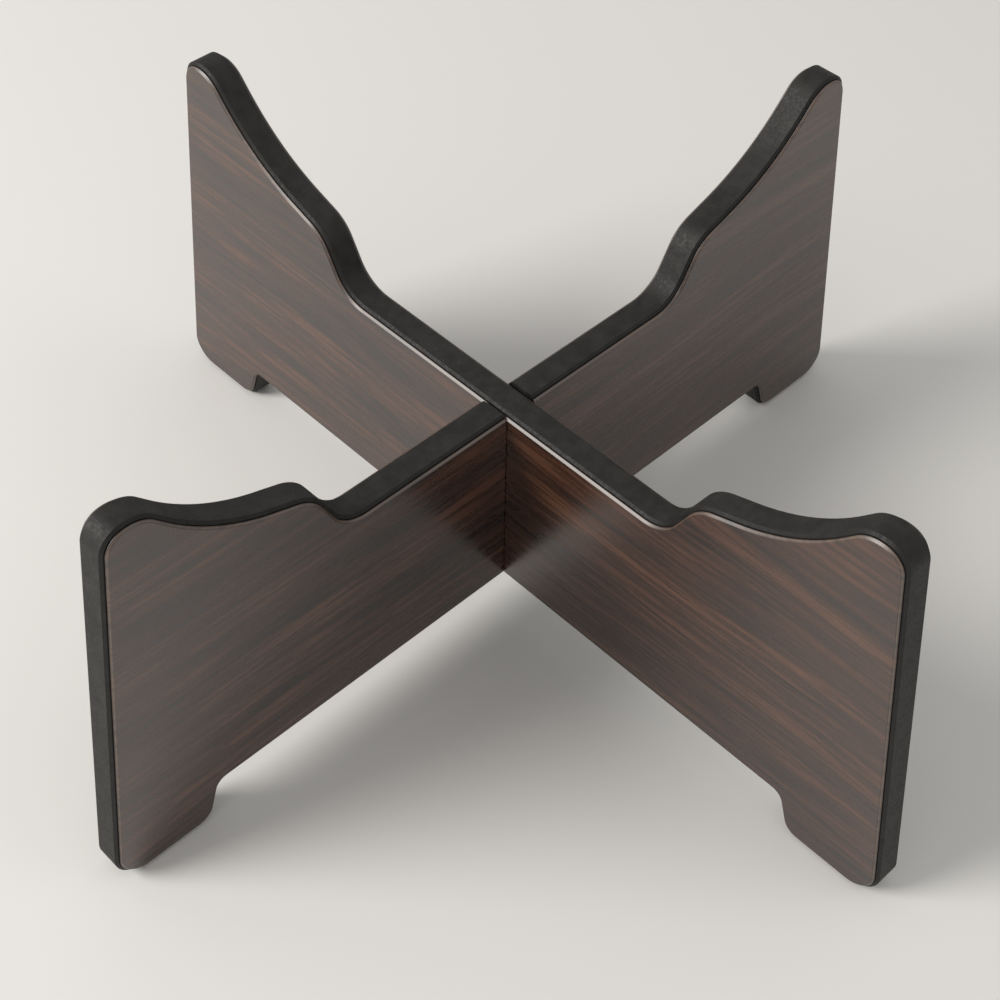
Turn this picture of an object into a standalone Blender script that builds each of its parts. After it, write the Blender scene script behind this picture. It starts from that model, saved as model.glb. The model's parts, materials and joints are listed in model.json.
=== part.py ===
"""Cross-lap stand for a steel tongue drum.

Two boards of one profile stand on edge and cross at right angles. Each has a slot to half its
height in the middle, so that the upper board drops into the lower one and lifts off again to
pack flat. The four stepped arms make the cradle that the drum sits in. A board is a black core
with a wood-grain laminate on each face, and one chamfer runs through laminate and core.

Metres, +Z up. The origin is on the floor under the crossing. The lower board runs along Y and
the upper board along X.
"""

import math

import bmesh
import bpy
from mathutils import Matrix, Vector

# The board, measured across its thickness
BOARD_THICKNESS = 0.0120
LAMINATE_THICKNESS = 0.0008
GLUE_LINE = 0.0003
EDGE_CHAMFER = 0.0019
LAMINATE_LIP = 0.0001

# Heights of the profile, each from the corner before it
CENTRE_HEIGHT = 0.0930
STEP_RISE = 0.0203
SWEEP_RISE = 0.0117
LIP_RISE = 0.0240
HORN_FALL = 0.0018
ARCH_HEIGHT = 0.0152

# Lengths of the profile along the board, from the crossing outwards and back under the foot
FLAT_HALF_LENGTH = 0.0716
STEP_RUN = 0.0112
SWEEP_RUN = 0.0339
LIP_RUN = 0.0215
HORN_WIDTH = 0.0133
EDGE_LEAN = 0.0200
FOOT_LENGTH = 0.0371
HEEL_LEAN = 0.0050

# Radii of the profile's corners
STEP_RADIUS = 0.0131
SHOULDER_RADIUS = 0.0167
CRADLE_RADIUS = 0.0800
LIP_RADIUS = 0.0125
HORN_RADIUS = 0.0087
TOE_RADIUS = 0.0104
HEEL_RADIUS = 0.0077
ARCH_RADIUS = 0.0029

# The cross-lap joint
SLOT_CLEARANCE = 0.0003
LAP_GAP = 0.0003

# Furthest that a drawn arc may lie from the true one, and the reach of a cutter past what it cuts
ARC_TOLERANCE = 0.000012
CUTTER_REACH = 0.005
WELD_DISTANCE = 0.000001

# Colours are linear RGB
CORE_COLOUR = (0.040, 0.042, 0.038)
CORE_ROUGHNESS = 0.62
LAMINATE_COLOUR = (0.078, 0.048, 0.037)
LAMINATE_ROUGHNESS = 0.34
METALLIC = 0.0


def clear_scene():
    for obj in list(bpy.data.objects):
        bpy.data.objects.remove(obj, do_unlink=True)


def make_collection(name, hidden=False):
    collection = bpy.data.collections.new(name)
    collection.hide_render = hidden
    bpy.context.scene.collection.children.link(collection)
    return collection


def make_material(name, colour, roughness):
    material = bpy.data.materials.new(name)
    material.use_nodes = True
    shader = material.node_tree.nodes["Principled BSDF"]
    shader.inputs["Base Color"].default_value = (*colour, 1.0)
    shader.inputs["Roughness"].default_value = roughness
    shader.inputs["Metallic"].default_value = METALLIC
    return material


def half_profile():
    """Corners of the right half, clockwise from the top, each a point and its radius."""
    step = FLAT_HALF_LENGTH
    shoulder = step + STEP_RUN
    cradle = shoulder + SWEEP_RUN
    lip = cradle + LIP_RUN
    horn = lip + HORN_WIDTH
    toe = horn + EDGE_LEAN
    heel = toe - FOOT_LENGTH
    shoulder_height = CENTRE_HEIGHT + STEP_RISE
    cradle_height = shoulder_height + SWEEP_RISE
    lip_height = cradle_height + LIP_RISE
    return [
        (Vector((step, CENTRE_HEIGHT)), STEP_RADIUS),
        (Vector((shoulder, shoulder_height)), SHOULDER_RADIUS),
        (Vector((cradle, cradle_height)), CRADLE_RADIUS),
        (Vector((lip, lip_height)), LIP_RADIUS),
        (Vector((horn, lip_height - HORN_FALL)), HORN_RADIUS),
        (Vector((toe, 0.0)), TOE_RADIUS),
        (Vector((heel, 0.0)), HEEL_RADIUS),
        (Vector((heel - HEEL_LEAN, ARCH_HEIGHT)), ARCH_RADIUS),
    ]


def whole_profile():
    """The right half and its mirror image, as one clockwise ring of corners."""
    right = half_profile()
    left = [(Vector((-point.x, point.y)), radius) for point, radius in reversed(right)]
    return right + left


def ring_neighbours(corners):
    """Each corner's point with the points before and after it."""
    points = [point for point, _ in corners]
    for index, here in enumerate(points):
        yield points[index - 1], here, points[(index + 1) % len(points)]


def turn_at(before, here, after):
    """Angle that the ring turns through at a corner: negative where it turns right."""
    arriving = here - before
    leaving = after - here
    return math.atan2(arriving.cross(leaving), arriving.dot(leaving))


def limit_radii(corners):
    """Shrink the radii of neighbouring corners whose arcs would meet on the side between them."""
    tangents = [
        radius * math.tan(abs(turn_at(*near)) / 2)
        for (_, radius), near in zip(corners, ring_neighbours(corners))
    ]
    shares = [1.0] * len(corners)
    for index, (_, here, after) in enumerate(ring_neighbours(corners)):
        following = (index + 1) % len(corners)
        needed = tangents[index] + tangents[following]
        share = min(1.0, (after - here).length / needed)
        shares[index] = min(shares[index], share)
        shares[following] = min(shares[following], share)
    return [(point, radius * share) for (point, radius), share in zip(corners, shares)]


def inset_profile(corners, inset):
    """The same ring drawn further inside, with arcs on the same centres."""
    drawn = []
    for (point, radius), (before, here, after) in zip(corners, ring_neighbours(corners)):
        turn = turn_at(before, here, after)
        arriving = (here - before).normalized()
        inward = Vector((arriving.y, -arriving.x))
        slide = arriving * (inset * math.tan(turn / 2))
        moved = point + inward * inset + slide
        grown = radius + math.copysign(inset, turn)
        drawn.append((moved, grown))
    return drawn


def corner_arc(before, here, after, radius):
    """Points of the arc that rounds one corner."""
    turn = turn_at(before, here, after)
    arriving = (here - before).normalized()
    start = here - arriving * (radius * math.tan(abs(turn) / 2))
    side = Vector((-arriving.y, arriving.x)) * math.copysign(radius, turn)
    centre = start + side
    widest = 2 * math.acos(1 - ARC_TOLERANCE / radius)
    count = max(2, math.ceil(abs(turn) / widest))
    return [centre - Matrix.Rotation(turn * k / count, 2) @ side for k in range(count + 1)]


def draw_profile(corners):
    """Every point of the ring, its corners rounded."""
    points = []
    for (_, radius), near in zip(corners, ring_neighbours(corners)):
        points += corner_arc(*near, radius)
    return points


def plate_curve(name, points, thickness, collection):
    """A flat outline, filled and extruded to a plate about its own plane."""
    curve = bpy.data.curves.new(name, "CURVE")
    curve.dimensions = "2D"
    curve.fill_mode = "BOTH"
    curve.extrude = thickness / 2
    ring = curve.splines.new("POLY")
    ring.points.add(len(points) - 1)
    for place, point in zip(ring.points, points):
        place.co = (point.x, point.y, 0.0, 1.0)
    ring.use_cyclic_u = True
    plate = bpy.data.objects.new(name, curve)
    collection.objects.link(plate)
    return plate


def curve_to_mesh(plate, collection):
    """The plate as a welded mesh, with one face on each side."""
    bpy.context.view_layer.update()
    graph = bpy.context.evaluated_depsgraph_get()
    mesh = bpy.data.meshes.new_from_object(plate.evaluated_get(graph))
    work = bmesh.new()
    work.from_mesh(mesh)
    bmesh.ops.remove_doubles(work, verts=work.verts, dist=WELD_DISTANCE)
    for side in (-1, 1):
        cap = [face for face in work.faces if face.normal.z * side > math.sqrt(0.5)]
        bmesh.ops.dissolve_faces(work, faces=cap)
    bmesh.ops.recalc_face_normals(work, faces=work.faces)
    work.to_mesh(mesh)
    work.free()
    name = plate.name
    placed = plate.matrix_world.copy()
    bpy.data.objects.remove(plate, do_unlink=True)
    solid = bpy.data.objects.new(name, mesh)
    solid.matrix_world = placed
    collection.objects.link(solid)
    return solid


def chamfer_rims(solid, width, sides):
    """Chamfer the rim of the faces on these sides, +1 for the front and -1 for the back."""
    if width <= 0:
        return
    mesh = solid.data
    weights = mesh.attributes.new("bevel_weight_edge", "FLOAT", "EDGE")
    for index, edge in enumerate(mesh.edges):
        depths = [mesh.vertices[end].co.z for end in edge.vertices]
        if any(min(side * depth for depth in depths) > 0 for side in sides):
            weights.data[index].value = 1.0
    bevel = solid.modifiers.new("rim_chamfer", "BEVEL")
    bevel.limit_method = "WEIGHT"
    bevel.offset_type = "OFFSET"
    bevel.width = width
    bevel.segments = 1


def cut_slot(solid, cutter):
    """Cut the slot last, from flat triangles, so that its edges stay sharp."""
    solid.modifiers.new("flat_faces", "TRIANGULATE")
    boolean = solid.modifiers.new("lap_slot", "BOOLEAN")
    boolean.operation = "DIFFERENCE"
    boolean.solver = "EXACT"
    boolean.object = cutter


def slot_cutter(name, low, high, collection):
    """A box through the board at the crossing, between two heights of the board."""
    width = BOARD_THICKNESS + 2 * SLOT_CLEARANCE
    depth = BOARD_THICKNESS + 2 * CUTTER_REACH
    mesh = bpy.data.meshes.new(name)
    work = bmesh.new()
    bmesh.ops.create_cube(work, size=1.0)
    bmesh.ops.scale(work, vec=(width, high - low, depth), verts=work.verts)
    work.to_mesh(mesh)
    work.free()
    cutter = bpy.data.objects.new(name, mesh)
    cutter.location.y = (low + high) / 2
    cutter.display_type = "WIRE"
    cutter.hide_render = True
    collection.objects.link(cutter)
    return cutter


def shade(solid, material):
    solid.data.materials.append(material)
    solid.data.shade_smooth()
    solid.data.set_sharp_from_angle(angle=math.radians(30))


def make_core(name, ring, cutter, material, collection):
    """The black core, chamfered on both faces below the laminates."""
    thickness = BOARD_THICKNESS - 2 * (LAMINATE_THICKNESS + GLUE_LINE)
    plate = plate_curve(name, draw_profile(ring), thickness, collection)
    core = curve_to_mesh(plate, collection)
    shade(core, material)
    chamfer_rims(core, EDGE_CHAMFER - LAMINATE_THICKNESS - GLUE_LINE, (-1, 1))
    cut_slot(core, cutter)
    return core


def make_laminate(name, side, ring, cutter, material, collection):
    """One face sheet, its rim in the same chamfer as the core's."""
    rim = min(EDGE_CHAMFER, LAMINATE_THICKNESS - LAMINATE_LIP)
    points = draw_profile(inset_profile(ring, EDGE_CHAMFER - rim))
    plate = plate_curve(name, points, LAMINATE_THICKNESS, collection)
    laminate = curve_to_mesh(plate, collection)
    laminate.location.z = side * (BOARD_THICKNESS - LAMINATE_THICKNESS) / 2
    shade(laminate, material)
    chamfer_rims(laminate, rim, (side,))
    cut_slot(laminate, cutter)
    return laminate


def make_board(name, turn, low, high, materials, parts, cutters):
    """A core and two laminates, slotted between two heights, stood on edge and turned about Z."""
    frame = bpy.data.objects.new(name + "_frame", None)
    frame.rotation_euler = (math.radians(90), 0.0, turn)
    parts.objects.link(frame)
    ring = limit_radii(whole_profile())
    cutter = slot_cutter(name + "_slot", low, high, cutters)
    core = make_core(name + "_core", ring, cutter, materials["core"], parts)
    front = make_laminate(name + "_laminate_front", 1, ring, cutter, materials["laminate"], parts)
    back = make_laminate(name + "_laminate_back", -1, ring, cutter, materials["laminate"], parts)
    for piece in (cutter, core, front, back):
        piece.parent = frame


def main():
    clear_scene()
    parts = make_collection("tongue_drum_stand")
    cutters = make_collection("cutters", hidden=True)
    materials = {
        "core": make_material("core_black", CORE_COLOUR, CORE_ROUGHNESS),
        "laminate": make_material("laminate_wood", LAMINATE_COLOUR, LAMINATE_ROUGHNESS),
    }
    lap = (CENTRE_HEIGHT + ARCH_HEIGHT) / 2
    above = CENTRE_HEIGHT + CUTTER_REACH
    below = ARCH_HEIGHT - CUTTER_REACH
    quarter = math.radians(90)
    make_board("lower_board", quarter, lap - LAP_GAP / 2, above, materials, parts, cutters)
    make_board("upper_board", 0.0, below, lap + LAP_GAP / 2, materials, parts, cutters)


main()
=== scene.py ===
"""Looks of the tongue drum stand: its finishes, soft studio light and the photograph's camera."""

import json
import math

import bmesh
import bpy
from mathutils import Matrix, Vector


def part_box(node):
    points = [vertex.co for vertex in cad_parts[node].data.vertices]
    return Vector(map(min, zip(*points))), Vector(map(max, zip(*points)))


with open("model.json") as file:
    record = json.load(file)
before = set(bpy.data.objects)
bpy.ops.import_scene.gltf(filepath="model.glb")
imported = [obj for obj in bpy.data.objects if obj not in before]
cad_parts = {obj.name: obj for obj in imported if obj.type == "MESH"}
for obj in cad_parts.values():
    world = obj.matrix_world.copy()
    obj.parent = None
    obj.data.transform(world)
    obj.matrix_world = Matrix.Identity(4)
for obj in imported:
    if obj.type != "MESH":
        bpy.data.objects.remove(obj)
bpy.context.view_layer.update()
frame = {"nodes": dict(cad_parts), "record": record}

# Colours are linear RGB and lengths are metres. A pair is the two ends of a range, but for the
# sizes of the wood grain.

# The axis that each board runs along, 0 for X and 1 for Y
BOARD_AXES = {"lower_board": 1, "upper_board": 0}
OUTER_SHEET = "upper_board_laminate_front"
SMOOTH_ANGLE = math.radians(30)

# Black core: a fine grain and wider patches set its tone, and specks show where both are high
CORE_DARK = (0.0066, 0.0062, 0.0053, 1.0)
CORE_LIGHT = (0.0180, 0.0172, 0.0150, 1.0)
CORE_SPECK = (0.120, 0.118, 0.105, 1.0)
GRAIN_SIZE = 0.0011
PATCH_SIZE = 0.0045
PATCH_SHARE = 0.5
CORE_TONES = (0.36, 0.64)
SPECK_GRAIN = (0.66, 0.74)
SPECK_PATCH = (0.52, 0.62)
SPECK_SHARE = 0.55
# Painted shade on the chamfer: its colour is multiplied down to this share as it turns towards the
# board's faces
CHAMFER_PAINTED_SHADE = 0.55
CHAMFER_FACING = (0.3, 0.6)
CORE_ROUGHNESS = (0.52, 0.72)
CORE_IOR = 1.45
CORE_BUMP = 0.00006

# Wood grain: each size is a length along the board and a height across it
WOOD_DARK = (0.0110, 0.0046, 0.0028, 1.0)
WOOD_MIDDLE = (0.0380, 0.0130, 0.0056, 1.0)
WOOD_LIGHT = (0.1000, 0.0400, 0.0200, 1.0)
FIGURE_SIZE = (0.210, 0.0260)
FIGURE_BEND = 0.016
BAND_SIZE = (0.160, 0.0100)
BAND_SHARE = 0.45
STREAK_SIZE = (0.038, 0.0024)
PORE_SIZE = (0.011, 0.00050)
DARK_TONES = (0.37, 0.51)
LIGHT_TONES = (0.49, 0.65)
PORE_TONES = (0.60, 0.74)
PORE_SHARE = 0.55
WOOD_ROUGHNESS = (0.22, 0.33)
WOOD_IOR = 1.90
WOOD_BUMP = 0.00003
PORE_RELIEF = -0.6
STREAK_RELIEF = 0.4

# The laminate's paler cut edge, partly a painted highlight along the rim, shows between two depths
# below the board's outer face
CUT_EDGE_AND_HIGHLIGHT = (0.1200, 0.0850, 0.0600, 1.0)
CUT_EDGE_DEPTHS = (0.00022, 0.00052)
CUT_EDGE_SOFTNESS = 0.25
WORN_STREAKS = (0.35, 0.6)
WORN_SHARE = 0.45
FACE_FACING = (0.82, 0.92)
RIM_ROUGHNESS = 0.45

# The part of a noise's range that drives roughness
NOISE_SPAN = (0.3, 0.7)

# The photograph's camera
CAMERA_AZIMUTH = math.radians(45.108)
CAMERA_ELEVATION = math.radians(47.907)
CAMERA_ROLL = math.radians(-1.185)
CAMERA_PLACE = (0.2887, -0.2901, 0.4975)
CAMERA_LENS = 64.92
SENSOR_WIDTH = 36.0

# Floor, lamps and world
FLOOR_SIZE = 6.0
FLOOR_DROP = 0.0002
FLOOR_COLOUR = (0.80, 0.79, 0.77, 1.0)
FLOOR_ROUGHNESS = 0.85
WORLD_COLOUR = (1.0, 0.99, 0.97, 1.0)
WORLD_STRENGTH = 0.50
KEY_PLACE = (-0.9, -1.5, 1.25)
KEY_SIZE = 1.1
KEY_POWER = 36.0
KEY_COLOUR = (1.0, 0.97, 0.93)
FILL_PLACE = (1.2, 0.9, 1.5)
FILL_SIZE = 1.2
FILL_POWER = 2.0
FILL_COLOUR = (1.0, 0.98, 0.96)

# Sockets of the mix node when it mixes colours, by their place in its lists
MIX_SHARE, MIX_FIRST, MIX_SECOND, MIX_RESULT = 0, 6, 7, 2


class Tree:
    """The nodes of one material, with short calls for the kinds used here."""

    def __init__(self, name):
        self.material = bpy.data.materials.new(name)
        self.material.use_nodes = True
        self.nodes = self.material.node_tree.nodes
        self.links = self.material.node_tree.links
        self.shader = self.nodes["Principled BSDF"]

    def put(self, socket, source):
        """Feed a socket from another socket, or set it to a value."""
        if isinstance(source, bpy.types.NodeSocket):
            self.links.new(source, socket)
        else:
            socket.default_value = source

    def math(self, operation, *sources):
        node = self.nodes.new("ShaderNodeMath")
        node.operation = operation
        for socket, source in zip(node.inputs, sources):
            self.put(socket, source)
        return node.outputs[0]

    def blend(self, share, first, second):
        """A weighted sum of two values, with weights that make one."""
        return self.math("MULTIPLY_ADD", first, share, self.math("MULTIPLY", second, 1 - share))

    def combine(self, x, y, z):
        node = self.nodes.new("ShaderNodeCombineXYZ")
        for socket, source in zip(node.inputs, (x, y, z)):
            self.put(socket, source)
        return node.outputs[0]

    def noise(self, vector, detail=3.0, roughness=0.5, distortion=0.0):
        node = self.nodes.new("ShaderNodeTexNoise")
        self.put(node.inputs["Vector"], vector)
        node.inputs["Scale"].default_value = 1.0
        node.inputs["Detail"].default_value = detail
        node.inputs["Roughness"].default_value = roughness
        node.inputs["Distortion"].default_value = distortion
        return node.outputs[0]

    def ramp(self, value, source, target=(0.0, 1.0)):
        """Carry a value smoothly from one range to another, and hold it at the ends."""
        node = self.nodes.new("ShaderNodeMapRange")
        node.interpolation_type = "SMOOTHSTEP"
        self.put(node.inputs["Value"], value)
        node.inputs["From Min"].default_value = source[0]
        node.inputs["From Max"].default_value = source[1]
        node.inputs["To Min"].default_value = target[0]
        node.inputs["To Max"].default_value = target[1]
        return node.outputs[0]

    def mix(self, share, first, second, blend_type="MIX"):
        node = self.nodes.new("ShaderNodeMix")
        node.data_type = "RGBA"
        node.blend_type = blend_type
        self.put(node.inputs[MIX_SHARE], share)
        self.put(node.inputs[MIX_FIRST], first)
        self.put(node.inputs[MIX_SECOND], second)
        return node.outputs[MIX_RESULT]

    def bump(self, height, distance):
        node = self.nodes.new("ShaderNodeBump")
        node.inputs["Distance"].default_value = distance
        self.put(node.inputs["Height"], height)
        self.put(self.shader.inputs["Normal"], node.outputs[0])

    def place(self):
        """The point on the object, as x, y and z."""
        coordinates = self.nodes.new("ShaderNodeTexCoord")
        split = self.nodes.new("ShaderNodeSeparateXYZ")
        self.links.new(coordinates.outputs["Object"], split.inputs[0])
        return list(split.outputs)

    def facing(self, axis):
        """How far the surface faces along an axis, 0 to 1."""
        geometry = self.nodes.new("ShaderNodeNewGeometry")
        split = self.nodes.new("ShaderNodeSeparateXYZ")
        self.links.new(geometry.outputs["True Normal"], split.inputs[0])
        return self.math("ABSOLUTE", split.outputs[axis])


def even_point(tree, place, size):
    """A place with one unit to this length each way."""
    return tree.combine(*(tree.math("DIVIDE", part, size) for part in place))


def stretched_point(tree, along, across, size):
    """A point with one unit to size[0] along the board and to size[1] across it."""
    return tree.combine(
        tree.math("DIVIDE", along, size[0]), tree.math("DIVIDE", across, size[1]), 0.0
    )


def half_thickness():
    """From the middle of a board to its outer face."""
    low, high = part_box(OUTER_SHEET)
    return max(abs(low.y), abs(high.y))


def core_material(name, thickness_axis):
    """Black board edge: mottled, with a few pale specks, and a painted shade that darkens its
    chamfer.
    """
    tree = Tree(name)
    place = tree.place()
    grain = tree.noise(even_point(tree, place, GRAIN_SIZE), detail=4.0, roughness=0.65)
    patch = tree.noise(even_point(tree, place, PATCH_SIZE), detail=2.0)
    tone = tree.blend(PATCH_SHARE, patch, grain)
    colour = tree.mix(tree.ramp(tone, CORE_TONES), CORE_DARK, CORE_LIGHT)
    specks = tree.math("MULTIPLY", tree.ramp(grain, SPECK_GRAIN), tree.ramp(patch, SPECK_PATCH))
    colour = tree.mix(tree.math("MULTIPLY", specks, SPECK_SHARE), colour, CORE_SPECK)
    # Painted shade: the chamfer, which faces partly along the board's thickness, is darkened
    painted_shade = tree.ramp(tree.facing(thickness_axis), CHAMFER_FACING, (1.0, CHAMFER_PAINTED_SHADE))
    colour = tree.mix(1.0, colour, painted_shade, blend_type="MULTIPLY")
    tree.put(tree.shader.inputs["Base Color"], colour)
    tree.put(tree.shader.inputs["Roughness"], tree.ramp(grain, NOISE_SPAN, CORE_ROUGHNESS))
    tree.shader.inputs["IOR"].default_value = CORE_IOR
    tree.bump(grain, CORE_BUMP)
    return tree.material


def cut_edge_and_highlight_mask(tree, depth):
    """1 in the band of the laminate's cut edge and painted highlight, by the distance from the
    board's middle.
    """
    below = tree.math("SUBTRACT", half_thickness(), tree.math("ABSOLUTE", depth))
    start, end = CUT_EDGE_DEPTHS
    soft = (end - start) * CUT_EDGE_SOFTNESS
    rise = tree.ramp(below, (start - soft, start + soft))
    fall = tree.ramp(below, (end - soft, end + soft), (1.0, 0.0))
    return tree.math("MULTIPLY", rise, fall)


def laminate_material(name, along_axis):
    """Dark satin wood grain along the board, with the sheet's paler cut edge, partly a painted
    highlight, round its rim.
    """
    tree = Tree(name)
    place = tree.place()
    along, depth, height = place[along_axis], place[1 - along_axis], place[2]
    figure = tree.noise(stretched_point(tree, along, height, FIGURE_SIZE), detail=1.0)
    bent = tree.math("MULTIPLY_ADD", figure, FIGURE_BEND, height)
    band = tree.noise(stretched_point(tree, along, bent, BAND_SIZE), distortion=0.4)
    streak = tree.noise(stretched_point(tree, along, bent, STREAK_SIZE), detail=4.0, roughness=0.6)
    pore = tree.noise(stretched_point(tree, along, bent, PORE_SIZE), detail=2.0)
    tone = tree.blend(BAND_SHARE, band, streak)
    colour = tree.mix(tree.ramp(tone, DARK_TONES), WOOD_DARK, WOOD_MIDDLE)
    colour = tree.mix(tree.ramp(tone, LIGHT_TONES), colour, WOOD_LIGHT)
    colour = tree.mix(tree.ramp(pore, PORE_TONES, (0.0, PORE_SHARE)), colour, WOOD_DARK)
    rim = tree.ramp(tree.facing(1 - along_axis), FACE_FACING, (1.0, 0.0))
    worn = tree.ramp(streak, WORN_STREAKS, (WORN_SHARE, 1.0))
    # A pale rim, partly the laminate's real cut edge and partly a painted highlight
    edge_and_highlight = tree.math("MULTIPLY", tree.math("MULTIPLY", cut_edge_and_highlight_mask(tree, depth), rim), worn)
    tree.put(tree.shader.inputs["Base Color"], tree.mix(edge_and_highlight, colour, CUT_EDGE_AND_HIGHLIGHT))
    gloss = tree.ramp(streak, NOISE_SPAN, WOOD_ROUGHNESS)
    rough = tree.math("MAXIMUM", gloss, tree.math("MULTIPLY", rim, RIM_ROUGHNESS))
    tree.put(tree.shader.inputs["Roughness"], rough)
    tree.shader.inputs["IOR"].default_value = WOOD_IOR
    streak_relief = tree.math("MULTIPLY", streak, STREAK_RELIEF)
    tree.bump(tree.math("MULTIPLY_ADD", pore, PORE_RELIEF, streak_relief), WOOD_BUMP)
    return tree.material


def dress_boards():
    """Give every CAD piece its finish, and shade its arcs smooth."""
    for body, along_axis in BOARD_AXES.items():
        finishes = {
            "core": core_material(body + "_core_finish", 1 - along_axis),
            "laminate": laminate_material(body + "_laminate_finish", along_axis),
        }
        for name in frame["record"]["behaviour"]["bodies"][body]:
            piece = frame["nodes"][name]
            kind = "core" if name.endswith("core") else "laminate"
            piece.data.materials.clear()
            piece.data.materials.append(finishes[kind])
            piece.data.shade_smooth()
            piece.data.set_sharp_from_angle(angle=SMOOTH_ANGLE)


def make_floor():
    """A plain pale floor, just under the feet."""
    mesh = bpy.data.meshes.new("floor")
    work = bmesh.new()
    bmesh.ops.create_grid(work, x_segments=1, y_segments=1, size=FLOOR_SIZE)
    work.to_mesh(mesh)
    work.free()
    floor = bpy.data.objects.new("floor", mesh)
    floor.location.z = -FLOOR_DROP
    bpy.context.scene.collection.objects.link(floor)
    tree = Tree("floor_finish")
    tree.shader.inputs["Base Color"].default_value = FLOOR_COLOUR
    tree.shader.inputs["Roughness"].default_value = FLOOR_ROUGHNESS
    mesh.materials.append(tree.material)


def add_softbox(name, place, size, power, colour):
    """A round area lamp that faces the floor under the crossing."""
    light = bpy.data.lights.new(name, "AREA")
    light.shape = "DISK"
    light.size = size
    light.energy = power
    light.color = colour
    lamp = bpy.data.objects.new(name, light)
    lamp.location = place
    lamp.rotation_euler = (-Vector(place)).to_track_quat("-Z", "Y").to_euler()
    bpy.context.scene.collection.objects.link(lamp)


def light_scene():
    """An even pale world, a soft key from the front left and a weak fill from the back right."""
    world = bpy.data.worlds.new("studio")
    world.use_nodes = True
    background = world.node_tree.nodes["Background"]
    background.inputs["Color"].default_value = WORLD_COLOUR
    background.inputs["Strength"].default_value = WORLD_STRENGTH
    bpy.context.scene.world = world
    add_softbox("key", KEY_PLACE, KEY_SIZE, KEY_POWER, KEY_COLOUR)
    add_softbox("fill", FILL_PLACE, FILL_SIZE, FILL_POWER, FILL_COLOUR)


def add_camera():
    """The photograph's camera: it looks down at the stand, with a slight roll."""
    level = math.cos(CAMERA_ELEVATION)
    back = Vector((
        math.sin(CAMERA_AZIMUTH) * level,
        -math.cos(CAMERA_AZIMUTH) * level,
        math.sin(CAMERA_ELEVATION),
    ))
    across = Vector((math.cos(CAMERA_AZIMUTH), math.sin(CAMERA_AZIMUTH), 0.0))
    up = back.cross(across)
    roll = Matrix.Rotation(-CAMERA_ROLL, 3, back)
    axes = Matrix((roll @ across, roll @ up, back)).transposed()
    data = bpy.data.cameras.new("camera")
    data.lens = CAMERA_LENS
    data.sensor_width = SENSOR_WIDTH
    camera = bpy.data.objects.new("camera", data)
    camera.matrix_world = Matrix.LocRotScale(Vector(CAMERA_PLACE), axes.to_quaternion(), None)
    bpy.context.scene.collection.objects.link(camera)
    bpy.context.scene.camera = camera


dress_boards()
make_floor()
light_scene()
add_camera()
bpy.context.scene.view_settings.view_transform = "Standard"
